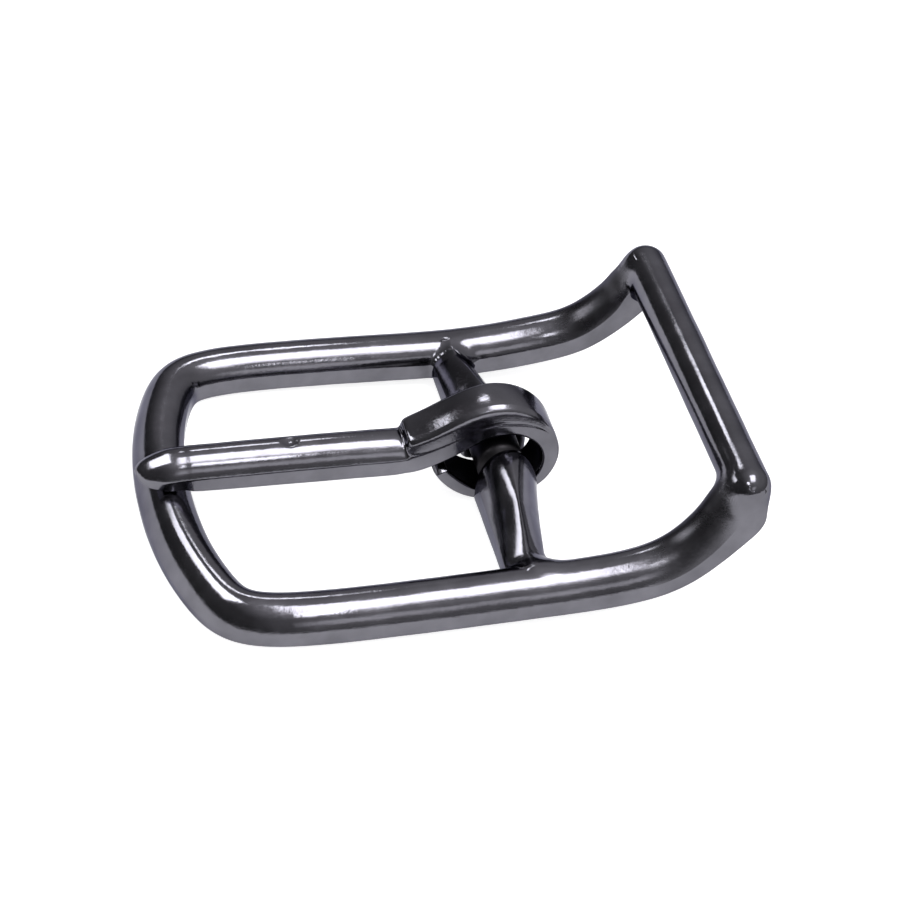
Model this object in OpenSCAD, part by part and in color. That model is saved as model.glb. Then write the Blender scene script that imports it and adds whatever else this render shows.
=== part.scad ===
// Strap buckle: a cast frame with a swooped-up end bar, and a tongue that turns on the fixed centre bar.
// Millimetres. +X points from the centre bar to the raised bar, +Y along the bars, +Z up.
// Rows and lengths are written from the middle of the centre bar with the frame's flat back level.
// Then both pieces are moved together into the pose that the buckle takes on a table: its eye reaches
// a little below the back, so it lies on the eye and on the outer edge of the bowed bar.
// The origin is the middle of the footprint, on the table.

/* [Frame] */
// Clear width between the side rods, which is the strap's width
inner_w = 31.8; // [30:0.2:40]
// Width of the side rods and of the bowed end bar
rod_w = 5.3; // [4.6:0.1:6]
// Distance from the centre bar to the middle of the bowed end bar
loop_len = 35.1; // [34:0.1:40]
// Height of the upright side walls below the dome
wall_h = 1.35; // [1:0.05:1.6]
// Height of the dome above the side walls
dome_h = 2.2; // [1.8:0.05:2.6]

/* [Raised bar] */
// Diameter of the raised end bar and its ball ends
bar_d = 4.6; // [4:0.1:5]
// Distance from the centre bar to the raised bar
bar_x = 18.7; // [18:0.1:20]
// Height of the raised bar's middle above the top of the side walls
bar_z = 10.1; // [9.4:0.1:11]

/* [Centre bar] */
// Diameter of the journal that the tongue turns on
journal_d = 4.9; // [4.4:0.1:5]
// Half the distance between the two shoulders beside the eye
shoulder_y = 2.8; // [2.7:0.05:3]
// Width of the centre bar at its shoulders
shoulder_w = 6.5; // [6.2:0.1:6.8]
// Width of the centre bar where it meets the rods
root_w = 4.3; // [4:0.1:4.8]

/* [Tongue] */
// Width of the prong
prong_w = 4.7; // [4.2:0.1:4.9]
// Width of the eye
eye_w = 4.9; // [4.4:0.1:5]
// Radius of the round end of the eye's hole
hole_r = 3.2; // [3.1:0.05:3.3]
// Clearance between the tongue's tip and the end bar that it rests on
seat_gap = 0.12; // [0.1:0.02:0.4]

/* [Hidden] */
$fn = 64;

metal = [0.33, 0.32, 0.35];
rail_y = (inner_w + rod_w) / 2;
rod_half = rod_w / 2;
back_z = -wall_h;
journal_x = -1.6;
journal_z = 2.6;
hole_x = -0.55;
hole_z = 2.2;
// Angle on the dome's ellipse at which the side walls begin, which leaves a crease between them
crease_angle = 22;
// Height of the dome's foot above the rail: on the outer side, and how much more on the inner side
foot_rise = 0.15;
foot_more = 0.3;
tiny = 0.001;

// Rows of the rail, the line between the tops of the two side walls,
// from the end bar's middle to the raised bar.
// Columns: x, y, z, depth of the back below the rail, lean of that depth towards +X in degrees,
// dome height, half width on the outer side, half width on the inner side
rail_rows = [
    [-loop_len, 0, 0, wall_h, 0, dome_h, rod_half, rod_half],
    [-loop_len, 6.6, 0, wall_h, 0, dome_h, rod_half, rod_half],
    [-loop_len + 2.3, rail_y - 3, 0, wall_h, 0, dome_h, rod_half, rod_half],
    [-loop_len + 5, rail_y + 0.75, 0, wall_h, 0, dome_h, rod_half, rod_half],
    [-loop_len / 2, rail_y + 0.75, 0, wall_h, 0, dome_h, rod_half, rod_half],
    [-loop_len / 4, rail_y + 0.45, 0, wall_h, 0, dome_h, rod_half, rod_half],
    [0, rail_y + 0.15, 0, wall_h + 0.05, 0, dome_h, rod_half, rod_half],
    [7.7, rail_y + 0.45, 0.75, wall_h + 0.15, 10, dome_h, rod_half, rod_half],
    [bar_x - 5.8, rail_y, 2, wall_h + 0.05, 26, dome_h, rod_half, rod_half],
    [bar_x - 1.5, rail_y - 0.5, bar_z - 3.3, wall_h + 0.45, 54, dome_h, rod_half, rod_half],
    [bar_x - 1.1, rail_y - 0.8, bar_z - 1.1, wall_h + 1.9, 74, dome_h * 0.95, rod_half * 0.9, rod_half],
    [bar_x - 0.1, rail_y - 0.8, bar_z + 0.4, 1.2, 80, 1, 1, 1.2],
];

// Rows of the tongue's inner line: the prong's underside, then the inside of the eye, then its closed end.
// Columns: x, z, direction of the outer side in degrees, wall height, dome height, half width,
// dome roundness (1 is an ellipse, less is squarer)
half_p = prong_w / 2;
half_e = eye_w / 2;
seat_z = dome_h + 0.3 + seat_gap;
tip_x = -loop_len - 3;
prong_z = 1.95;
tongue_rows = [
    [tip_x, seat_z + 0.75, 90, 0.3, 0.2, 0.3, 1],
    [tip_x + 0.3, seat_z + 0.3, 90, 0.7, 0.8, 1.25, 1],
    [tip_x + 1.6, seat_z, 90, 0.95, 1.55, 1.95, 1],
    [tip_x + 3, seat_z, 90, 1.05, 2, half_p, 1],
    [tip_x + 4.2, seat_z, 90, 1.08, 2.1, half_p, 1],
    [tip_x + 4.7, seat_z, 90, 1.1, 2.1, half_p, 1],
    [tip_x + 5, prong_z + 0.32, 90, 1.45, 2.1, half_p, 1],
    [tip_x + 5.5, prong_z + 0.3, 90, 1.5, 2.1, half_p, 1],
    [-25, prong_z + 0.2, 90, 1.6, 2.1, half_p, 1],
    [-18, prong_z + 0.1, 90, 1.7, 2.05, half_p, 1],
    [-13.2, prong_z, 91, 1.75, 2, half_p, 1],
    [-12, prong_z, 93, 1.75, 1.9, half_p, 1],
    [-11.2, prong_z + 0.1, 94, 1.75, 1.75, half_p, 0.9],
    [-10.6, prong_z + 0.15, 98, 1.72, 2.2, half_e, 0.6],
    [-9.2, 2.35, 110, 1.65, 2.4, half_e, 0.4],
    [-6.8, 3.35, 115, 1.5, 2.5, half_e, 0.3],
    [-4.2, 4.85, 112, 1.3, 2.75, half_e, 0.3],
    [-2.2, 5.85, 101, 1.05, 2.85, half_e, 0.3],
    [0, 5.8, 80, 0.95, 2.45, half_e, 0.3],
    [2, 4.75, 50, 1.8, 0.55, half_e, 0.3],
    [3.1, 2.7, 12, 1.7, 0.2, half_e, 0.3],
    [2.6, 0.1, -35, 1.1, 0.3, half_e, 0.5],
    [0.5, -1.15, -75, 1, 0.3, half_e, 0.5],
    [-2.6, -1.2, -93, 1.15, 0.25, half_e, 0.5],
    [-5, 0, -122, 1.4, 0.25, half_e, 0.5],
    [-6.2, 1.3, -145, 1.4, 0.25, half_e, 0.5],
    [-6.9, 2.1, -155, 1.2, 0.25, half_e, 0.5],
];

// Clamped cubic B-spline: knot number i for n control rows
function knot(i, n) = min(max((i - 3) / (n - 3), 0), 1);
function ratio(a, b) = b > 0 ? a / b : 0;
function basis(i, p, t, n) = p == 0
    ? (t >= knot(i, n) && t < knot(i + 1, n) ? 1 : 0)
    : ratio(t - knot(i, n), knot(i + p, n) - knot(i, n)) * basis(i, p - 1, t, n)
        + ratio(knot(i + p + 1, n) - t, knot(i + p + 1, n) - knot(i + 1, n)) * basis(i + 1, p - 1, t, n);
function add_up(v, i = 0) = i == len(v) - 1 ? v[i] : v[i] + add_up(v, i + 1);
// A row on the smooth curve through the table, at t from 0 to 1
function row_at(rows, t) = let (n = len(rows), u = min(t, 1 - 1e-6), first = min(floor(u * (n - 3)), n - 4))
    add_up([for (i = [first:first + 3]) basis(i, 3, u, n) * rows[i]]);
function unit(v) = v / norm(v);

// Dome profile: pairs of sideways share (-1 to 1) and height share (0 to 1),
// from the outer side to the inner.
// Roundness 1 follows an ellipse, less is squarer
function dome_pairs(n, roundness = 1) = let (foot = pow(sin(crease_angle), roundness))
    [for (i = [0:n]) let (a = crease_angle + (180 - 2 * crease_angle) * i / n)
        [sign(cos(a)) * pow(abs(cos(a)) / cos(crease_angle), roundness),
            (pow(sin(a), roundness) - foot) / (1 - foot)]];

// Closed solid from rings that all have the same number of points
module loft(rings) {
    n = len(rings);
    m = len(rings[0]);
    faces = [
        [for (j = [0:m - 1]) j],
        for (i = [0:n - 2], j = [0:m - 1]) let (k = (j + 1) % m)
            each [[i * m + j, (i + 1) * m + k, i * m + k], [i * m + j, (i + 1) * m + j, (i + 1) * m + k]],
        [for (j = [m - 1:-1:0]) (n - 1) * m + j],
    ];
    polyhedron(points = [for (r = rings) each r], faces = faces, convexity = 10);
}

// Rail ring at s from -1 (near end) over 0 (end bar's middle) to 1 (far end)
rail_steps = 52;
rail_dome = dome_pairs(10);
function rail_point(s) = let (r = row_at(rail_rows, abs(s))) [r[0], s < 0 ? -r[1] : r[1], r[2]];
function rail_ring(s) = let (
    r = row_at(rail_rows, abs(s)),
    c = rail_point(s),
    run = unit(rail_point(min(s + tiny, 1)) - rail_point(max(s - tiny, -1))),
    out = unit([-run[1], run[0], 0]),
    up = unit(cross(run, -out)),
    rise = up[2] < 0 ? -up : up,
    b = c + r[3] * [sin(r[4]), 0, -cos(r[4])]
) [
    b + out * r[6],
    for (d = rail_dome)
        c + out * d[0] * (d[0] > 0 ? r[6] : r[7])
            + rise * (r[5] * d[1] + foot_rise + foot_more * (1 - d[0]) / 2),
    b - out * r[7],
];

module rail() {
    loft([for (i = [-rail_steps:rail_steps]) rail_ring(i / rail_steps)]);
}

module raised_bar() {
    half_len = rail_y - 0.75;
    translate([bar_x, 0, bar_z]) {
        rotate([90, 0, 0])
            cylinder(d = bar_d, h = 2 * half_len, center = true);
        for (side = [-1, 1])
            translate([0, side * half_len, 0])
                sphere(d = bar_d);
    }
}

// Centre bar ring at a distance y from the middle plane
bar_left = -4.25;
shoulder_top = 4.85;
root_top = 2.3;
bar_back = 0.2;
root_y = inner_w / 2 - 0.4;
shoulder_round = 0.9;
flare_y = 1.8;
flare_w = 1.3;
// How far the far half sits to the right of the near half,
// and how much wider its right side is at the shoulder
far_shift = 0.2;
far_widening = 0.4;
// Height of the upright left and right walls below the ridged top,
// and how much the left one loses at the root
left_wall = 2.35;
left_wall_loss = 0.6;
right_wall = 1.5;
// Course of the top and of the right side from the shoulder (0) to the root (1), as powers
fall_power = 1.6;
narrowing_power = 0.85;
// Roundness of the top at the shoulder, and how much more it has at the root: 1 is an ellipse, 2 a roof
shoulder_roundness = 0.95;
root_roundness_more = 0.6;
function bar_ring(y, side) = let (
    s = min(max((y - shoulder_y - shoulder_round) / (root_y - shoulder_y - shoulder_round), 0), 1),
    e = max(shoulder_y + shoulder_round - y, 0) / shoulder_round,
    inset = 0.75 * (1 - sqrt(max(1 - e * e, 0))),
    flare = flare_w * pow(min(max(y - root_y + flare_y, 0) / flare_y, 1), 2),
    shift = side > 0 ? far_shift : 0,
    widening = side > 0 ? far_widening * (1 - s * s) : 0,
    left = bar_left + shift + inset - 0.2 * flare,
    narrowing = (shoulder_w - root_w) * pow(s, narrowing_power),
    right = bar_left + shift + shoulder_w + widening - narrowing - inset + flare,
    top = shoulder_top + (root_top - shoulder_top) * pow(s, fall_power) - 0.6 * inset,
    back = back_z + bar_back,
    ridge_profile = dome_pairs(10, shoulder_roundness + root_roundness_more * min(2 * s, 1)),
    left_crease = back + left_wall - left_wall_loss * s,
    right_crease = back + right_wall,
    mid = (left + right) / 2,
    half = (right - left) / 2
) [
    [left, side * y, back],
    for (d = ridge_profile) let (crease = d[0] > 0 ? left_crease : right_crease)
        [mid - half * d[0], side * y, crease + (top - crease) * d[1]],
    [right, side * y, back],
];

module centre_bar() {
    steps = 26;
    span = rail_y - 0.6 - shoulder_y;
    for (side = [-1, 1])
        loft([for (i = [0:steps]) bar_ring(shoulder_y + span * (side > 0 ? i : steps - i) / steps, side)]);
    translate([journal_x, 0, journal_z])
        rotate([90, 0, 0])
            cylinder(d = journal_d, h = 2 * shoulder_y + 0.8, center = true);
}

module frame() {
    color(metal)
        on_table()
            union() {
                rail();
                raised_bar();
                centre_bar();
            }
}

// Tongue ring at t from 0 (tip) to 1 (the eye's closed end)
tongue_steps = 96;
function tongue_ring(t) = let (
    r = row_at(tongue_rows, t),
    foot = [r[0], 0, r[1]],
    up = [cos(r[2]), 0, sin(r[2])],
    out = [0, r[5], 0],
    dome = dome_pairs(10, r[6])
) [
    foot + out,
    for (d = dome) foot + out * d[0] + up * (r[3] + r[4] * d[1]),
    foot - out,
];

// Pose on a table: the line that touches the bowed bar's outer edge and the eye's lowest place becomes level
edge = [-loop_len - rod_half, back_z];
eye_low = [for (i = [0:tongue_steps]) let (r = row_at(tongue_rows, i / tongue_steps))
    [r[0] + (r[3] + r[4]) * cos(r[2]), r[1] + (r[3] + r[4]) * sin(r[2])]];
rest_tilt = max([for (p = eye_low) if (p[0] > edge[0] + 1) atan2(edge[1] - p[1], p[0] - edge[0])]);
function turned_x(p) = p[0] * cos(rest_tilt) - p[1] * sin(rest_tilt);
function turned_z(p) = p[0] * sin(rest_tilt) + p[1] * cos(rest_tilt);
origin_x = (turned_x([bar_x, bar_z]) + bar_d / 2 + turned_x([tip_x, seat_z + 0.9])) / 2;
module on_table() {
    translate([-origin_x, 0, -turned_z(edge)])
        rotate([0, -rest_tilt, 0])
            children();
}

// The eye's hole: a true round end, and sides that run in to the closed end
module eye_hole() {
    rotate([90, 0, 0])
        linear_extrude(height = eye_w + 2, center = true)
            union() {
                translate([hole_x, hole_z])
                    circle(r = hole_r);
                polygon([
                    [hole_x, hole_z - hole_r],
                    [hole_x, hole_z + hole_r],
                    [-1.4, hole_z + hole_r],
                    [-2.6, hole_z + hole_r - 0.2],
                    [-4.4, 4.6],
                    [-6.4, 3.45],
                    [-9.2, 2.15],
                    [-9.2, 1.8],
                    [-7.3, 2.45],
                    [-6, 1.75],
                    [-4.9, 0.5],
                    [-2.9, hole_z - hole_r],
                ]);
            }
}

// Shallow dent on the far side of the prong's dome
dent_x = -22.7;
dent_y = 1.1;
dent_z = 5.23;
dent_r = 3.2;
module dent() {
    translate([dent_x, dent_y, dent_z + dent_r])
        sphere(r = dent_r);
}

module tongue() {
    color(metal)
        on_table()
            difference() {
                loft([for (i = [0:tongue_steps]) tongue_ring(i / tongue_steps)]);
                eye_hole();
                dent();
            }
}

frame();
tongue();
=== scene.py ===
"""Dark plated strap buckle: smooth frame and tongue over the CAD model, on a pale floor in studio light."""
import math

import bpy
import numpy as np
from mathutils import Matrix, Vector, noise
from mathutils.bvhtree import BVHTree


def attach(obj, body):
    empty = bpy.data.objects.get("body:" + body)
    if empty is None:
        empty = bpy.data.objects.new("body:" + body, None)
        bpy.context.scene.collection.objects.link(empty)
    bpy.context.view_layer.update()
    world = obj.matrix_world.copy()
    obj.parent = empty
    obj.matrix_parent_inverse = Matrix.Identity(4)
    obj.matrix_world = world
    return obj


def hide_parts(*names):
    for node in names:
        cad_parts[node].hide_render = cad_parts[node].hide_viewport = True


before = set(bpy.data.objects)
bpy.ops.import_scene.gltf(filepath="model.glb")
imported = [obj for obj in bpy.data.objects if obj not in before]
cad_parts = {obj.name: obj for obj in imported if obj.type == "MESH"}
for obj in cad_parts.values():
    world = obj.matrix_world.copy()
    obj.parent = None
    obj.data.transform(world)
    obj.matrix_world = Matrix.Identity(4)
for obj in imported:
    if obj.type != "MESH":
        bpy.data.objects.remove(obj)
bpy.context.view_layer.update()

MM = 0.001

# Sizes of the part, in millimetres, as in the CAD source
INNER_WIDTH = 31.8
ROD_WIDTH = 5.3
LOOP = 35.1
WALL = 1.35
DOME = 2.2
BAR_DIAMETER = 4.6
BAR_X = 18.7
BAR_Z = 10.1
JOURNAL_DIAMETER = 4.9
JOURNAL_X = -1.6
JOURNAL_Z = 2.6
PRONG_WIDTH = 4.7
EYE_WIDTH = 4.9
SEAT_GAP = 0.12
RAIL_Y = (INNER_WIDTH + ROD_WIDTH) / 2
ROD_HALF = ROD_WIDTH / 2

# Where a dome starts on its circle, and how far the rail's dome starts above its row's line: at the outer
# side, and how much more at the inner side
CREASE = math.radians(22)
FOOT_RISE = 0.15
FOOT_MORE = 0.3

# Pose on the table: tilt about Y in degrees, and the move that follows it
TILT = -1.80218
MOVE = np.array([8.75937, 0.0, 2.53653])

# Rows from the end bar's middle to the raised bar. Columns: x, y, z, wall depth, lean in degrees,
# dome height, outer half width, inner half width
RAIL_ROWS = np.array([
    [-LOOP, 0, 0, WALL, 0, DOME, ROD_HALF, ROD_HALF],
    [-LOOP, 6.6, 0, WALL, 0, DOME, ROD_HALF, ROD_HALF],
    [-LOOP + 2.3, RAIL_Y - 3, 0, WALL, 0, DOME, ROD_HALF, ROD_HALF],
    [-LOOP + 5, RAIL_Y + 0.75, 0, WALL, 0, DOME, ROD_HALF, ROD_HALF],
    [-LOOP / 2, RAIL_Y + 0.75, 0, WALL, 0, DOME, ROD_HALF, ROD_HALF],
    [-LOOP / 4, RAIL_Y + 0.45, 0, WALL, 0, DOME, ROD_HALF, ROD_HALF],
    [0, RAIL_Y + 0.15, 0, WALL + 0.05, 0, DOME, ROD_HALF, ROD_HALF],
    [7.7, RAIL_Y + 0.45, 0.75, WALL + 0.15, 10, DOME, ROD_HALF, ROD_HALF],
    [BAR_X - 5.8, RAIL_Y, 2, WALL + 0.05, 26, DOME, ROD_HALF, ROD_HALF],
    [BAR_X - 1.5, RAIL_Y - 0.5, BAR_Z - 3.3, WALL + 0.45, 54, DOME, ROD_HALF, ROD_HALF],
    [BAR_X - 1.1, RAIL_Y - 0.8, BAR_Z - 1.1, WALL + 1.9, 74, DOME * 0.95, ROD_HALF * 0.9, ROD_HALF],
    [BAR_X - 0.1, RAIL_Y - 0.8, BAR_Z + 0.4, 1.2, 80, 1, 1, 1.2],
])

# Rows along the tongue's inner line, from the tip round the eye to its closed end. Columns: x, z,
# direction of the outer side in degrees, wall height, dome height, half width, roundness, rim radius.
# Roundness 1 is the prong's dome, and EYE_ROUNDNESS is the eye's flat top with bevelled edges
PRONG_HALF = PRONG_WIDTH / 2
EYE_HALF = EYE_WIDTH / 2
EYE_ROUNDNESS = 0.3
SEAT_Z = DOME + 0.3 + SEAT_GAP
TIP = -LOOP - 3
PRONG_Z = 1.95
TONGUE_ROWS = np.array([
    [TIP, SEAT_Z + 0.75, 90, 0.3, 0.2, 0.3, 1, 0.1],
    [TIP + 0.3, SEAT_Z + 0.3, 90, 0.7, 0.8, 1.25, 1, 0.15],
    [TIP + 1.6, SEAT_Z, 90, 0.95, 1.55, 1.95, 1, 0.15],
    [TIP + 3, SEAT_Z, 90, 1.05, 2, PRONG_HALF, 1, 0.15],
    [TIP + 4.2, SEAT_Z, 90, 1.08, 2.1, PRONG_HALF, 1, 0.15],
    [TIP + 4.8, SEAT_Z - 0.05, 90, 1.12, 2.1, PRONG_HALF, 1, 0.15],
    [TIP + 5.3, PRONG_Z + 0.4, 90, 1.4, 2.1, PRONG_HALF, 1, 0.15],
    [TIP + 6, PRONG_Z + 0.3, 90, 1.5, 2.1, PRONG_HALF, 1, 0.15],
    [-25, PRONG_Z + 0.2, 90, 1.6, 2.1, PRONG_HALF, 1, 0.15],
    [-18, PRONG_Z + 0.1, 90, 1.7, 2.05, PRONG_HALF, 1, 0.15],
    [-13.2, PRONG_Z, 91, 1.75, 2, PRONG_HALF, 1, 0.2],
    [-12, PRONG_Z, 93, 1.75, 1.9, PRONG_HALF, 1, 0.25],
    [-11.2, PRONG_Z + 0.1, 94, 1.75, 1.75, PRONG_HALF, 0.9, 0.3],
    [-10.6, PRONG_Z + 0.15, 98, 1.72, 2.2, EYE_HALF, 0.6, 0.35],
    [-9.2, 2.35, 110, 1.65, 2.4, EYE_HALF, 0.4, 0.4],
    [-6.8, 3.35, 115, 1.5, 2.5, EYE_HALF, EYE_ROUNDNESS, 0.45],
    [-4.2, 4.85, 112, 1.3, 2.75, EYE_HALF, EYE_ROUNDNESS, 0.5],
    [-2.2, 5.85, 101, 1.05, 2.85, EYE_HALF, EYE_ROUNDNESS, 0.5],
    [0, 5.8, 80, 0.95, 2.45, EYE_HALF, EYE_ROUNDNESS, 0.5],
    [2, 4.75, 50, 1.8, 0.55, EYE_HALF, EYE_ROUNDNESS, 0.5],
    [3.1, 2.7, 12, 1.7, 0.2, EYE_HALF, EYE_ROUNDNESS, 0.5],
    [2.6, 0.1, -35, 1.1, 0.3, EYE_HALF, 0.5, 0.45],
    [0.5, -1.15, -75, 1, 0.3, EYE_HALF, 0.5, 0.4],
    [-2.6, -1.2, -93, 1.15, 0.25, EYE_HALF, 0.5, 0.4],
    [-5, 0, -122, 1.4, 0.25, EYE_HALF, 0.5, 0.4],
    [-6.2, 1.3, -145, 1.4, 0.25, EYE_HALF, 0.5, 0.4],
    [-6.9, 2.1, -155, 1.2, 0.25, EYE_HALF, 0.5, 0.4],
])


def to_table(points):
    """Moves points in millimetres from the design's own axes to the pose on the table, in metres."""
    a = math.radians(TILT)
    turn = np.array([[math.cos(a), 0, math.sin(a)], [0, 1, 0], [-math.sin(a), 0, math.cos(a)]])
    return (np.asarray(points) @ turn.T + MOVE) * MM


def unit(v):
    return v / np.maximum(np.linalg.norm(v, axis=-1, keepdims=True), 1e-12)


def spline(rows, where):
    """Clamped cubic B-spline that a table of rows guides, at values from 0 to 1."""
    t = np.clip(np.asarray(where, float), 0, 1 - 1e-9)
    k = np.concatenate([np.zeros(3), np.linspace(0, 1, len(rows) - 2), np.ones(3)])
    weights = [((t >= k[i]) & (t < k[i + 1])).astype(float) for i in range(len(k) - 1)]
    for degree in (1, 2, 3):
        following = []
        for i in range(len(k) - 1 - degree):
            value = np.zeros_like(t)
            if k[i + degree] > k[i]:
                value += (t - k[i]) / (k[i + degree] - k[i]) * weights[i]
            if k[i + degree + 1] > k[i + 1]:
                value += (k[i + degree + 1] - t) / (k[i + degree + 1] - k[i + 1]) * weights[i + 1]
            following.append(value)
        weights = following
    return np.stack(weights, -1) @ rows


def dome_shares(steps, roundness):
    """Sideways and height shares of a dome's profile, from the outer side to the inner."""
    a = CREASE + (math.pi - 2 * CREASE) * np.arange(steps + 1) / steps
    e = np.asarray(roundness, float)[..., None]
    foot = math.sin(CREASE) ** e
    side = np.sign(np.cos(a)) * (np.abs(np.cos(a)) / math.cos(CREASE)) ** e
    return side, (np.sin(a) ** e - foot) / (1 - foot)


# An edge's rounding takes at most this share of the line beside it
EDGE_LIMIT = 0.45


def sections(lines, radii, steps=4):
    """Rings of a solid from its lengthwise lines, with the two edges on each side rounded.

    The lines run from one foot over the dome to the other foot. radii are those of the first foot, the
    crease over it, the other crease and the other foot, each one value or a value for each ring.
    """
    rings = np.stack(lines, 1)
    count = rings.shape[1]
    edges = [0, 1, count - 2, count - 1]
    out = []
    for j in range(count):
        here = rings[:, j]
        if j not in edges:
            out.append(here)
            continue
        to_before = rings[:, (j - 1) % count] - here
        to_after = rings[:, (j + 1) % count] - here
        radius = np.broadcast_to(radii[edges.index(j)], (len(rings),))[:, None]
        long_before = np.maximum(np.linalg.norm(to_before, axis=1, keepdims=True), 1e-9)
        long_after = np.maximum(np.linalg.norm(to_after, axis=1, keepdims=True), 1e-9)
        start = here + to_before / long_before * np.minimum(radius, EDGE_LIMIT * long_before)
        end = here + to_after / long_after * np.minimum(radius, EDGE_LIMIT * long_after)
        for f in np.arange(steps + 1) / steps:
            out.append(start * (1 - f) ** 2 + here * 2 * f * (1 - f) + end * f ** 2)
    return np.stack(out, 1)


def signed_volume(verts, faces):
    total = 0.0
    for f in faces:
        a = verts[f[0]]
        for i in range(1, len(f) - 1):
            total += np.dot(a, np.cross(verts[f[i]], verts[f[i + 1]]))
    return total


def loft(rings):
    """Points and outward faces of a closed solid from rings of points."""
    n, m = rings.shape[:2]
    faces = []
    for i in range(n - 1):
        for j in range(m):
            k = (j + 1) % m
            faces.append((i * m + j, i * m + k, (i + 1) * m + k, (i + 1) * m + j))
    faces.append(tuple(range(m - 1, -1, -1)))
    faces.append(tuple((n - 1) * m + j for j in range(m)))
    verts = rings.reshape(-1, 3)
    if signed_volume(verts, faces) < 0:
        faces = [tuple(reversed(f)) for f in faces]
    return verts, faces


# The rail. On the bow's outer side the dome reaches lower, and this fades in along X
RAIL_STEPS = 300
RAIL_DOME_STEPS = 26
RAIL_EDGES = [0.28, 0.16, 0.16, 0.28]
BOW_DROP = 0.65
BOW_STARTS = -26
BOW_FADE = 6


def rail_rings():
    """Sections from the near swoop round the bow to the far swoop."""
    places = np.linspace(-1, 1, 2 * RAIL_STEPS + 1)
    nudge = 1e-3

    def line(where):
        row = spline(RAIL_ROWS, np.abs(where))
        return np.stack([row[:, 0], np.where(where < 0, -1, 1) * row[:, 1], row[:, 2]], 1)

    x, _, _, wall, lean, dome, outer_half, inner_half = spline(RAIL_ROWS, np.abs(places)).T[..., None]
    middle = line(places)
    run = unit(line(np.minimum(places + nudge, 1)) - line(np.maximum(places - nudge, -1)))
    out = unit(np.stack([-run[:, 1], run[:, 0], np.zeros(len(places))], 1))
    rise = unit(np.cross(run, -out))
    rise *= np.where(rise[:, 2] < 0, -1.0, 1.0)[:, None]
    lean = np.radians(lean)
    base = middle + wall * np.hstack([np.sin(lean), 0 * lean, -np.cos(lean)])
    drop = BOW_DROP * np.clip((BOW_STARTS - x) / BOW_FADE, 0, 1)
    lines = [base + out * outer_half]
    for side, height in zip(*dome_shares(RAIL_DOME_STEPS, 1.0)):
        level = dome * height + FOOT_RISE + FOOT_MORE * (1 - side) / 2
        if side > 0:
            level = level - drop * (1 - height)
        lines.append(middle + out * side * (outer_half if side > 0 else inner_half) + rise * level)
    lines.append(base - out * inner_half)
    return sections(lines, RAIL_EDGES)


# Painted shade on the hollow side of the swoops: the dome there is painted darker and duller, so that it
# shows no highlight: how much, where it begins and ends along X, over which lengths it fades, and how many
# lines at each wall stay unpainted
SWOOP_SHADE = 0.6
SWOOP_FROM = 8.5
SWOOP_FADE_IN = 2.5
SWOOP_TO = 17.5
SWOOP_FADE_OUT = 2
WALL_LINES = 9


def swoop_painted_shade(rings):
    x = rings[..., 0]
    fade_in = np.clip((x - SWOOP_FROM) / SWOOP_FADE_IN, 0, 1)
    fade_out = np.clip((SWOOP_TO - x) / SWOOP_FADE_OUT, 0, 1)
    painted_shade = SWOOP_SHADE * fade_in * fade_out
    painted_shade[:, :WALL_LINES] = 0
    painted_shade[:, -WALL_LINES:] = 0
    return painted_shade.ravel()


# How far the raised bar's straight stretch ends inside the rail's line, and the radius left at its poles
RAISED_BAR_INSIDE = 0.75
LEAST_RADIUS = 0.02


def capsule_rings(radius, half_length, around=56, cap=18, along=60):
    """Rings of a bar with ball ends along Y."""
    turn = np.radians(np.linspace(-90, 90, 2 * cap + 1))
    near, far = turn[:cap], turn[cap + 1:]
    straight = -half_length + 2 * half_length * np.arange(along + 1) / along
    y = np.concatenate([-half_length + radius * np.sin(near), straight, half_length + radius * np.sin(far)])
    r = np.concatenate([radius * np.cos(near), np.full(along + 1, radius), radius * np.cos(far)])
    r = np.maximum(r, LEAST_RADIUS)[:, None]
    t = 2 * math.pi * np.arange(around) / around
    return np.stack([BAR_X + r * np.cos(t), y[:, None] + 0 * r * t, BAR_Z + r * np.sin(t)], -1)


# The centre bar: from the shoulders beside the journal it falls and narrows to its roots in the rail.
# At a shoulder's face its sides draw in by the inset, and its top falls by a share of that
CENTRE_STEPS = 110
CENTRE_DOME_STEPS = 34
CENTRE_EDGES = [0.35, 0.2, 0.25, 0.35]
CENTRE_INSIDE = 0.6
BAR_LEFT = -4.25
BAR_BACK = 0.2
SHOULDER_Y = 2.8
SHOULDER_WIDTH = 6.5
SHOULDER_TOP = 4.85
SHOULDER_ROUND = 0.9
SHOULDER_INSET = 0.75
INSET_FALL = 0.6
SHOULDER_ROUNDNESS = 0.95
ROOT_Y = INNER_WIDTH / 2 - 0.4
ROOT_WIDTH = 4.3
ROOT_TOP = 2.3
ROOT_ROUNDNESS_MORE = 0.6
FAR_SHIFT = 0.2
FAR_WIDENING = 0.4
LEFT_WALL = 2.35
LEFT_WALL_LOSS = 0.6
RIGHT_WALL = 1.5
FALL_POWER = 1.6
NARROWING_POWER = 0.85


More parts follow.
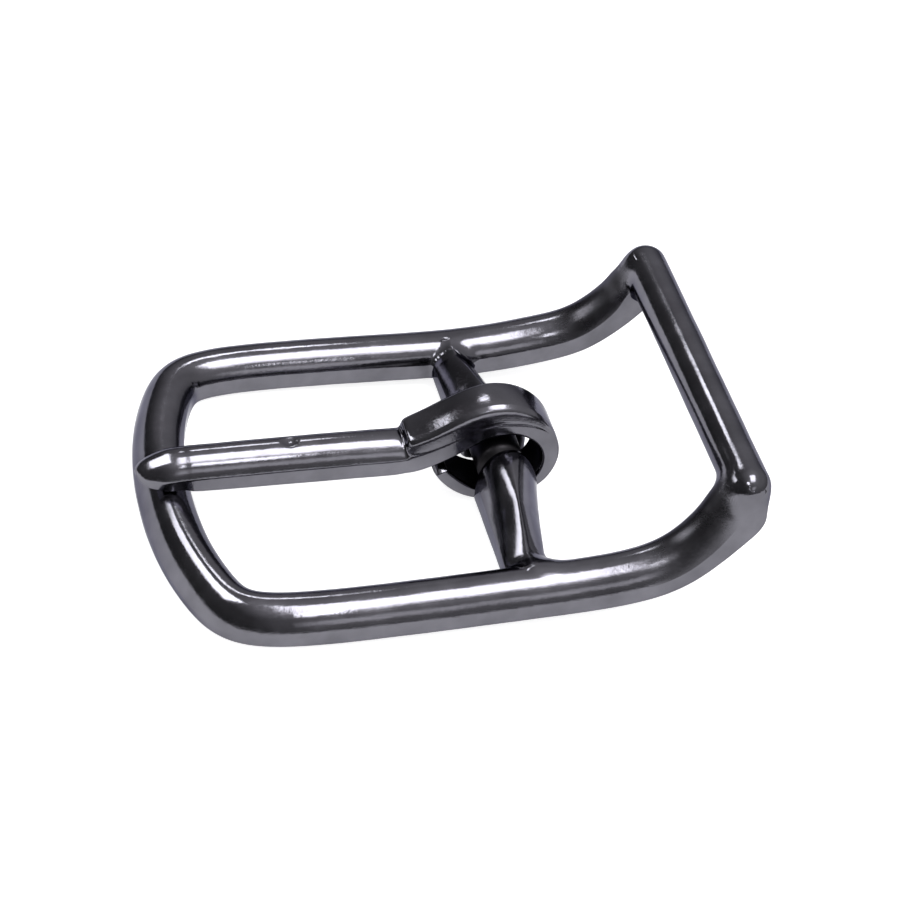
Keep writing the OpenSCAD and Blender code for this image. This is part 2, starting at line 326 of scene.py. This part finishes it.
def centre_rings(side):
    """Sections of one half of the centre bar. side is -1 for the near half and 1 for the far half."""
    y = np.linspace(SHOULDER_Y, RAIL_Y - CENTRE_INSIDE, CENTRE_STEPS + 1)
    s = np.clip((y - SHOULDER_Y - SHOULDER_ROUND) / (ROOT_Y - SHOULDER_Y - SHOULDER_ROUND), 0, 1)
    e = np.maximum(SHOULDER_Y + SHOULDER_ROUND - y, 0) / SHOULDER_ROUND
    inset = SHOULDER_INSET * (1 - np.sqrt(np.maximum(1 - e * e, 0)))
    left = BAR_LEFT + inset
    right = BAR_LEFT + SHOULDER_WIDTH - (SHOULDER_WIDTH - ROOT_WIDTH) * s ** NARROWING_POWER - inset
    if side > 0:
        left += FAR_SHIFT
        right += FAR_SHIFT + FAR_WIDENING * (1 - s * s)
    top = SHOULDER_TOP + (ROOT_TOP - SHOULDER_TOP) * s ** FALL_POWER - INSET_FALL * inset
    back = -WALL + BAR_BACK + 0 * s
    left_crease = back + LEFT_WALL - LEFT_WALL_LOSS * s
    right_crease = back + RIGHT_WALL
    middle = (left + right) / 2
    half = (right - left) / 2
    roundness = SHOULDER_ROUNDNESS + ROOT_ROUNDNESS_MORE * np.minimum(2 * s, 1)
    shares, heights = dome_shares(CENTRE_DOME_STEPS, roundness)
    lines = [np.stack([left, side * y, back], 1)]
    for share, height in zip(shares.T, heights.T):
        crease = np.where(share > 0, left_crease, right_crease)
        lines.append(np.stack([middle - half * share, side * y, crease + (top - crease) * height], 1))
    lines.append(np.stack([right, side * y, back], 1))
    return sections(lines, CENTRE_EDGES)


# The journal between the shoulders, how far it reaches into them, and its sections
JOURNAL_INSIDE = 0.4
JOURNAL_AROUND = 64
JOURNAL_SECTIONS = 9


def journal_rings():
    t = 2 * math.pi * np.arange(JOURNAL_AROUND) / JOURNAL_AROUND
    ring = np.stack([np.cos(t), 0 * t, np.sin(t)], 1) * JOURNAL_DIAMETER / 2
    end = SHOULDER_Y + JOURNAL_INSIDE
    return np.stack([ring + [JOURNAL_X, y, JOURNAL_Z] for y in np.linspace(-end, end, JOURNAL_SECTIONS)])


# Half of the eye's profile, from the wall to the middle of its flat top: shares of half width and of height.
# It has a bead round the hole, a fine groove, a steep side and a bevel
EYE_PROFILE = np.array([
    (1, 0), (1, 0.12), (0.988, 0.2), (0.968, 0.26), (0.982, 0.32), (0.976, 0.4), (0.962, 0.62), (0.948, 0.73),
    (0.925, 0.8), (0.89, 0.875), (0.87, 0.897), (0.73, 0.975), (0.705, 0.99), (0.67, 1), (0, 1),
])

# The dome has as many lines as the eye's whole profile, so that one turns into the other
TONGUE_STEPS = 620
TONGUE_DOME_STEPS = 2 * len(EYE_PROFILE) - 2
TONGUE_CREASE_RADIUS = 0.16

# Small dent on top of the prong's dome: middle and radius of the ball that it follows
DENT = np.array([-22.7, -0.05, 7.36])
DENT_RADIUS = 1.8

# Sharp step where the dome meets the eye: place, width and depth of the dip before it
NECK_X = -11.0
NECK_WIDTH = 0.42
NECK_DIP = 0.3

# The eye begins here along X
EYE_X = -8.5


def tongue_rings():
    """Sections from the tip along the prong and round the eye to its closed end."""
    rows = spline(TONGUE_ROWS, np.linspace(0, 1, TONGUE_STEPS + 1))
    x, z, direction, wall, dome, half, roundness, rim = rows.T[..., None]
    a = np.radians(direction)
    foot = np.hstack([x, 0 * x, z])
    up = np.hstack([np.cos(a), 0 * a, np.sin(a)])
    out = np.hstack([0 * a, half, 0 * a])
    eye_side = np.concatenate([EYE_PROFILE[:, 0], -EYE_PROFILE[-2::-1, 0]])
    eye_height = np.concatenate([EYE_PROFILE[:, 1], EYE_PROFILE[-2::-1, 1]])
    side, height = dome_shares(TONGUE_DOME_STEPS, 1.0)
    eye = np.clip((1 - roundness) / (1 - EYE_ROUNDNESS), 0, 1)
    side = side * (1 - eye) + eye_side * eye
    height = height * (1 - eye) + eye_height * eye
    dome = dome - NECK_DIP * np.exp(-((x - NECK_X) / NECK_WIDTH) ** 2)
    lines = [foot + out]
    for j in range(side.shape[1]):
        lines.append(foot + out * side[:, j:j + 1] + up * (wall + dome * height[:, j:j + 1]))
    lines.append(foot - out)
    radii = [rim[:, 0], TONGUE_CREASE_RADIUS, TONGUE_CREASE_RADIUS, rim[:, 0]]
    rings = sections(lines, radii, steps=5)
    away = rings - DENT
    gap = np.linalg.norm(away, axis=-1, keepdims=True)
    return np.where(gap < DENT_RADIUS, DENT + away / gap * DENT_RADIUS, rings)


def eye_painted_shade(rings):
    """Painted shade inside the eye: the inside lies between the last and the first point of each ring."""
    painted_shade = np.zeros(rings.shape[:2])
    inside = rings[:, 0, 0] > EYE_X
    painted_shade[inside, 0] = 1
    painted_shade[inside, -1] = 1
    return painted_shade.ravel()


# Smooth joins between pieces of one casting. The radius of the raised bar's corners is the same all over.
# Those of the centre bar's roots are small on its left side and grow towards the right. The rail joins
# the centre bar only within its reach along X
CORNER_RADIUS = 1.3
ROOT_RADIUS_LEFT = 0.4
ROOT_RADIUS_MORE_NEAR = 2.3
ROOT_RADIUS_MORE_FAR = 0.7
ROOT_RADIUS_GROWS_OVER = 3.6
NO_JOIN = 1e-3
CENTRE_REACH = 9

# A point joins when it lies within the radius outside the other solid, or this share of it inside.
# Its lift is found in a few damped steps
JOIN_INSIDE = 0.9
JOIN_TRIES = 5
JOIN_DAMPING = 0.9
JOIN_ACCURACY = 1e-4


def corner_radius(v):
    return CORNER_RADIUS


def root_radius(v):
    f = min(max((v[0] + ROOT_RADIUS_GROWS_OVER) / ROOT_RADIUS_GROWS_OVER, 0.0), 1.0)
    return ROOT_RADIUS_LEFT + (ROOT_RADIUS_MORE_NEAR if v[1] < 0 else ROOT_RADIUS_MORE_FAR) * f


def surface(verts, faces):
    return BVHTree.FromPolygons([Vector(v) for v in verts], faces)


def distance(tree, p):
    """Distance from a point to a closed surface, negative inside it."""
    near, normal, _, gap = tree.find_nearest(p)
    return gap if (p - near).dot(normal) >= 0 else -gap


def point_normals(verts, faces):
    total = np.zeros_like(verts)
    for f in faces:
        a, b, c = verts[f[0]], verts[f[1]], verts[f[2]]
        n = np.cross(b - a, c - a)
        for i in f:
            total[i] += n
    return unit(total)


def blend_to(verts, faces, tree, radius_at):
    """Lifts points near another solid onto the smooth join of the two."""
    normals = point_normals(verts, faces)
    out = verts.copy()
    for i, (v, n) in enumerate(zip(verts, normals)):
        p = Vector(v)
        k = radius_at(v)
        gap = distance(tree, p)
        if gap > k or gap < -JOIN_INSIDE * k:
            continue
        direction = Vector(n)
        lift = 0.0
        for _ in range(JOIN_TRIES):
            gap = distance(tree, p + direction * lift)
            h = max(k - abs(gap - lift), 0) / k
            value = min(gap, lift) - h * h * k / 4
            if abs(value) < JOIN_ACCURACY:
                break
            lift -= value * JOIN_DAMPING
            lift = min(max(lift, 0.0), k)
        out[i] = np.array(p + direction * lift)
    return out


# Hand-finished unevenness: broad waves and fine ones. Columns: depth, size and place in the noise
FRAME_WAVES = [(0.05, 4.0, 1), (0.012, 0.9, 3)]
TONGUE_WAVES = [(0.04, 4.0, 2), (0.01, 0.9, 4)]
NOISE_STEPS = (7.3, 3.1, 5.7)


def wavy(verts, faces, waves):
    """Moves points inward by up to the depth of each kind of wave."""
    for depth, size, place in waves:
        normals = point_normals(verts, faces)
        shift = Vector([place * step for step in NOISE_STEPS])
        amount = np.array([noise.noise(Vector(v) / size + shift) for v in verts])
        verts = verts - normals * (depth * (0.5 + 0.5 * amount))[:, None]
    return verts


def mesh_object(name, verts, faces, body, material, painted_shade):
    """The last argument gives, for each point, a value from 0 to 1: how much painted shade darkens and dulls
    the plating there.
    """
    mesh = bpy.data.meshes.new(name)
    mesh.from_pydata([tuple(v) for v in to_table(verts)], [], faces)
    layer = mesh.attributes.new("painted_shade", "FLOAT", "POINT")
    layer.data.foreach_set("value", np.asarray(painted_shade, np.float32))
    mesh.validate()
    mesh.polygons.foreach_set("use_smooth", [True] * len(mesh.polygons))
    mesh.update()
    obj = bpy.data.objects.new(name, mesh)
    bpy.context.scene.collection.objects.link(obj)
    mesh.materials.append(material)
    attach(obj, body)
    return obj


# Nodes that the materials and the world share

def math_node(tree, kind, *values):
    node = tree.nodes.new("ShaderNodeMath")
    node.operation = kind
    for socket, value in zip(node.inputs, values):
        if isinstance(value, (int, float)):
            socket.default_value = value
        else:
            tree.links.new(value, socket)
    return node.outputs[0]


def range_node(tree, value, low, high, low_value, high_value, kind="LINEAR"):
    """Maps a value from the range low to high onto the range low_value to high_value."""
    node = tree.nodes.new("ShaderNodeMapRange")
    node.interpolation_type = kind
    tree.links.new(value, node.inputs["Value"])
    node.inputs["From Min"].default_value = low
    node.inputs["From Max"].default_value = high
    node.inputs["To Min"].default_value = low_value
    node.inputs["To Max"].default_value = high_value
    return node.outputs["Result"]


# The plating: its colour, that of its painted shade and its sheen at the edges
PLATING = (0.132, 0.13, 0.148)
DARKER_SHARE = 0.82
PALER_SHARE = 1.12
SHADE_COLOUR = (0.02, 0.019, 0.021, 1)
EDGE_TINT = (0.45, 0.45, 0.5, 1)

# Its patterns: blotches of gloss, cast grain, and rubbing marks drawn out along X.
# Columns: cells in a metre, levels of detail, roughness
BLOTCHES = (260, 3, 0.55)
GRAIN = (2600, 4, 0.55)
MARKS = (3800, 3, 0.6)
MARKS_STRETCH = (0.12, 1.6, 1.6)

# How far a material's place moves the patterns along Y, as a share of their move along X
PLACE_ACROSS = 0.37

# Between which values of a pattern the colour, the gloss and the marks change
COLOUR_RANGE = (0.3, 0.7)
GLOSS_RANGE = (0.3, 0.75)
MARKS_RANGE = (0.45, 0.8)

# Its roughness between and in blotches, what marks and the painted shade add, and its bumps' strength and
# depth in metres
LEAST_ROUGHNESS = 0.07
BLOTCH_ROUGHNESS = 0.16
MARKS_ROUGHNESS = 0.12
SHADE_ROUGHNESS = 0.3
MARKS_BUMP = (0.12, 0.00003)
GRAIN_BUMP = (0.17, 0.00005)


def dark_metal(name, place):
    """Polished dark plating: fine rubbing marks, cast grain and slightly uneven gloss.

    place moves the patterns, so that two pieces don't show the same ones.
    """
    mat = bpy.data.materials.new(name)
    mat.use_nodes = True
    tree = mat.node_tree
    nodes, links = tree.nodes, tree.links
    shader = nodes["Principled BSDF"]
    shader.inputs["Metallic"].default_value = 1.0
    shader.inputs["Specular Tint"].default_value = EDGE_TINT
    coords = nodes.new("ShaderNodeTexCoord")

    def mapping(vector, kind, value):
        node = nodes.new("ShaderNodeMapping")
        node.inputs[kind].default_value = value
        links.new(vector, node.inputs["Vector"])
        return node.outputs["Vector"]

    def pattern(kind, vector):
        node = nodes.new("ShaderNodeTexNoise")
        for socket, value in zip(("Scale", "Detail", "Roughness"), kind):
            node.inputs[socket].default_value = value
        links.new(vector, node.inputs["Vector"])
        return node.outputs["Fac"]

    def mixed(first, second, factor):
        node = nodes.new("ShaderNodeMix")
        node.data_type = "RGBA"
        for socket, value in (("A", first), ("B", second)):
            if isinstance(value, tuple):
                node.inputs[socket].default_value = value
            else:
                links.new(value, node.inputs[socket])
        links.new(factor, node.inputs["Factor"])
        return node.outputs["Result"]

    def bump(height, strength, depth):
        node = nodes.new("ShaderNodeBump")
        node.inputs["Strength"].default_value = strength
        node.inputs["Distance"].default_value = depth
        links.new(height, node.inputs["Height"])
        return node

    spot = mapping(coords.outputs["Object"], "Location", (place, place * PLACE_ACROSS, 0))
    blotch = pattern(BLOTCHES, spot)
    grain = pattern(GRAIN, spot)
    marks = pattern(MARKS, mapping(spot, "Scale", MARKS_STRETCH))
    # Painted shade: a point attribute darkens the colour and dulls the gloss inside the eye, on and beside
    # the journal, and on the swoops
    painted_shade = nodes.new("ShaderNodeAttribute")
    painted_shade.attribute_name = "painted_shade"

    darker = (*[c * DARKER_SHARE for c in PLATING], 1)
    paler = (*[c * PALER_SHARE for c in PLATING], 1)
    colour = mixed(darker, paler, range_node(tree, blotch, *COLOUR_RANGE, 0, 1))
    links.new(mixed(colour, SHADE_COLOUR, painted_shade.outputs["Fac"]), shader.inputs["Base Color"])

    gloss = range_node(tree, blotch, *GLOSS_RANGE, LEAST_ROUGHNESS, BLOTCH_ROUGHNESS)
    rubbed = math_node(tree, "ADD", gloss, range_node(tree, marks, *MARKS_RANGE, 0.0, MARKS_ROUGHNESS))
    rough = math_node(tree, "MULTIPLY_ADD", painted_shade.outputs["Fac"], SHADE_ROUGHNESS, rubbed)
    links.new(rough, shader.inputs["Roughness"])

    bumps = bump(grain, *GRAIN_BUMP)
    links.new(bump(marks, *MARKS_BUMP).outputs["Normal"], bumps.inputs["Normal"])
    links.new(bumps.outputs["Normal"], shader.inputs["Normal"])
    return mat


# The floor is a light table: white, with a glow of its own that keeps it free of dark shadows
FLOOR_SIZE = 4
FLOOR_WHITE = 0.6
FLOOR_GLOW = 0.8
FLOOR_ROUGHNESS = 0.9
FLOOR_SPECULAR = 0.1


def floor_material():
    mat = bpy.data.materials.new("pale_floor")
    mat.use_nodes = True
    shader = mat.node_tree.nodes["Principled BSDF"]
    shader.inputs["Base Color"].default_value = (FLOOR_WHITE, FLOOR_WHITE, FLOOR_WHITE, 1)
    shader.inputs["Emission Color"].default_value = (1, 1, 1, 1)
    shader.inputs["Emission Strength"].default_value = FLOOR_GLOW
    shader.inputs["Roughness"].default_value = FLOOR_ROUGHNESS
    shader.inputs["Specular IOR Level"].default_value = FLOOR_SPECULAR
    return mat


# Light: far soft boxes, one overhead and a lower one behind the camera, with a wide glow round the upper box.
# Each box is a patch of sky given by slopes, the x and y of a direction divided by its z.
# Columns: left, right, near and far edge, softness of the near edge, softness of the others, strength
SOFT_BOXES = [
    (0.0, 0.42, -0.58, 0.04, 0.16, 0.05, 8.5),
    (-0.5, 0.7, -0.9, 0.5, 0.5, 0.5, 0.35),
    (0.1, 0.75, -2.8, -1.6, 0.25, 0.25, 1.3),
]
LEAST_Z = 0.01

# The room round them is darker on the left, between these x of a direction, and low down, up to this z
ROOM_COLOUR = (1, 0.99, 1, 1)
ROOM_LEFT = 0.14
ROOM_RIGHT = 0.6
ROOM_LEFT_X = -0.55
ROOM_RIGHT_X = 0.35
ROOM_LOW = 0.6
ROOM_LOW_Z = 0.5

# Three panels hang close over the buckle and show only in its reflections, in millimetres on the table's
# axes. Columns: left, right, near and far edge, height, brightness, and the slope at which the grid hides it
PANELS = [
    (-74, -38, -14, 57, 60, 7, 3.0),
    (-14, 14, 84, 104, 110, 9, 3.0),
    (-14, 8, -112, -78, 110, 8, 3.0),
]


def studio_world():
    """Even white light for the floor and the camera, and the soft boxes in their room for reflections."""
    world = bpy.data.worlds.new("studio")
    bpy.context.scene.world = world
    world.use_nodes = True
    tree = world.node_tree
    nodes, links = tree.nodes, tree.links
    nodes.clear()

    def band(value, low, high, low_soft, high_soft):
        """1 between low and high, and 0 outside them."""
        rise = range_node(tree, value, low - low_soft, low + low_soft, 0.0, 1.0, "SMOOTHSTEP")
        fall = range_node(tree, value, high - high_soft, high + high_soft, 1.0, 0.0, "SMOOTHSTEP")
        return math_node(tree, "MULTIPLY", rise, fall)

    def background(colour):
        node = nodes.new("ShaderNodeBackground")
        node.inputs["Color"].default_value = colour
        return node

    coords = nodes.new("ShaderNodeTexCoord")
    split = nodes.new("ShaderNodeSeparateXYZ")
    links.new(coords.outputs["Generated"], split.inputs[0])
    x, y, z = split.outputs
    up = math_node(tree, "MAXIMUM", z, LEAST_Z)
    slope_x = math_node(tree, "DIVIDE", x, up)
    slope_y = math_node(tree, "DIVIDE", y, up)

    sideways = range_node(tree, x, ROOM_LEFT_X, ROOM_RIGHT_X, ROOM_LEFT, ROOM_RIGHT, "SMOOTHSTEP")
    upward = range_node(tree, z, 0.0, ROOM_LOW_Z, ROOM_LOW, 1.0, "SMOOTHSTEP")
    total = math_node(tree, "MULTIPLY", sideways, upward)
    for left, right, near, far, near_soft, soft, strength in SOFT_BOXES:
        across = band(slope_x, left, right, soft, soft)
        along = band(slope_y, near, far, near_soft, soft)
        patch = math_node(tree, "MULTIPLY", across, along)
        total = math_node(tree, "ADD", total, math_node(tree, "MULTIPLY", patch, strength))

    rays = nodes.new("ShaderNodeLightPath")
    plain = math_node(tree, "MAXIMUM", rays.outputs["Is Diffuse Ray"], rays.outputs["Is Camera Ray"])
    room = background(ROOM_COLOUR)
    links.new(total, room.inputs["Strength"])
    mix = nodes.new("ShaderNodeMixShader")
    links.new(plain, mix.inputs["Fac"])
    links.new(room.outputs[0], mix.inputs[1])
    links.new(background((1, 1, 1, 1)).outputs[0], mix.inputs[2])
    out = nodes.new("ShaderNodeOutputWorld")
    links.new(mix.outputs[0], out.inputs["Surface"])


def hang_panels():
    """Adds the panels as area lights that light no diffuse surface."""
    for number, (left, right, near, far, height, brightness, grid_slope) in enumerate(PANELS):
        light = bpy.data.lights.new("panel_%d" % number, "AREA")
        light.shape = "RECTANGLE"
        light.size = (right - left) * MM
        light.size_y = (far - near) * MM
        light.energy = brightness * math.pi * light.size * light.size_y
        light.spread = 2 * math.atan(grid_slope)
        lamp = bpy.data.objects.new("panel_%d" % number, light)
        lamp.location = ((left + right) / 2 * MM, (near + far) / 2 * MM, height * MM)
        lamp.visible_diffuse = False
        bpy.context.scene.collection.objects.link(lamp)


# Camera at the photo's angle, in the design's axes: it moves with the part to the pose on the table.
# The point it looks at and its distance are in millimetres of the design
AZIMUTH = math.radians(-17.02)
ELEVATION = math.radians(39.89)
ROLL = math.radians(5.77)
AIM = np.array([-5.23, 3.04, 0.0])
DISTANCE = 306.28
SENSOR = 36
LENS = 120
CLIP_START = 0.01
CLIP_END = 10


def place_camera():
    ahead = math.cos(ELEVATION)
    back = np.array([math.sin(AZIMUTH) * ahead, -math.cos(AZIMUTH) * ahead, math.sin(ELEVATION)])
    right = np.array([math.cos(AZIMUTH), math.sin(AZIMUTH), 0])
    above = np.cross(back, right)
    across = right * math.cos(ROLL) + above * math.sin(ROLL)
    upward = -right * math.sin(ROLL) + above * math.cos(ROLL)
    origin = to_table(np.zeros(3))
    axes = [unit(to_table(axis) - origin) for axis in (across, upward, back)]
    matrix = Matrix.Identity(4)
    for j, axis in enumerate([*axes, to_table(AIM + back * DISTANCE)]):
        for i in range(3):
            matrix[i][j] = axis[i]
    camera = bpy.data.objects.new("camera", bpy.data.cameras.new("camera"))
    bpy.context.scene.collection.objects.link(camera)
    camera.matrix_world = matrix
    camera.data.sensor_width = SENSOR
    camera.data.lens = LENS
    camera.data.clip_start = CLIP_START
    camera.data.clip_end = CLIP_END
    bpy.context.scene.camera = camera


# Build the frame: its solids, then their smooth joins, then its pieces
SIDES = (-1, 1)

# The painted shade round the journal ends this far past the shoulders' faces, after a fade of this length
SHADE_BESIDE_JOURNAL = 0.35
SHADE_FADE = 0.3

gun_frame = dark_metal("frame_plating", place=1.7)
gun_tongue = dark_metal("tongue_plating", place=8.4)

rail_sections = rail_rings()
rail, rail_faces = loft(rail_sections)
bar, bar_faces = loft(capsule_rings(BAR_DIAMETER / 2, RAIL_Y - RAISED_BAR_INSIDE))
centre = [loft(centre_rings(side)) for side in SIDES]
rail_tree = surface(rail, rail_faces)
bar_tree = surface(bar, bar_faces)

joined_rail = blend_to(rail, rail_faces, bar_tree, corner_radius)
joined_bar = blend_to(bar, bar_faces, rail_tree, corner_radius)
joined_centre = [blend_to(verts, faces, rail_tree, root_radius) for verts, faces in centre]
for side, (verts, faces) in zip(SIDES, centre):
    near_root = (np.sign(rail[:, 1]) == side) & (np.abs(rail[:, 0]) < CENTRE_REACH)

    def local_radius(v):
        return root_radius(v) if side * v[1] > 0 and abs(v[0]) < CENTRE_REACH else NO_JOIN

    joined = blend_to(rail, rail_faces, surface(verts, faces), local_radius)
    joined_rail[near_root] = joined[near_root]

for name, verts, faces in (
    ("frame_rail", joined_rail, rail_faces),
    ("frame_raised_bar", joined_bar, bar_faces),
    ("frame_centre_near", joined_centre[0], centre[0][1]),
    ("frame_centre_far", joined_centre[1], centre[1][1]),
):
    verts = wavy(verts, faces, FRAME_WAVES)
    painted_shade = np.zeros(len(verts))
    if name == "frame_rail":
        # Painted shade on the swoops' domes
        painted_shade = swoop_painted_shade(rail_sections)
    if "centre" in name:
        # Painted shade on the centre bar beside the journal
        painted_shade = np.clip((SHOULDER_Y + SHADE_BESIDE_JOURNAL - np.abs(verts[:, 1])) / SHADE_FADE, 0, 1)
    mesh_object(name, verts, faces, "frame", gun_frame, painted_shade)

journal, journal_faces = loft(journal_rings())
# The journal is painted dark all over: painted shade
painted_shade = np.ones(len(journal))
mesh_object("frame_journal", journal, journal_faces, "frame", gun_frame, painted_shade)

# Build the tongue
tongue_sections = tongue_rings()
tongue, tongue_faces = loft(tongue_sections)
tongue = wavy(tongue, tongue_faces, TONGUE_WAVES)
# Painted shade inside the eye
painted_shade = eye_painted_shade(tongue_sections)
tongue_obj = mesh_object("tongue_smooth", tongue, tongue_faces, "tongue", gun_tongue, painted_shade)

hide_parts("frame")
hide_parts("tongue")

# Floor, light and camera
bpy.ops.mesh.primitive_plane_add(size=FLOOR_SIZE, location=(0, 0, 0))
floor = bpy.context.active_object
floor.name = "floor"
floor.data.materials.append(floor_material())

studio_world()
hang_panels()
bpy.context.scene.view_settings.view_transform = "Standard"
place_camera()
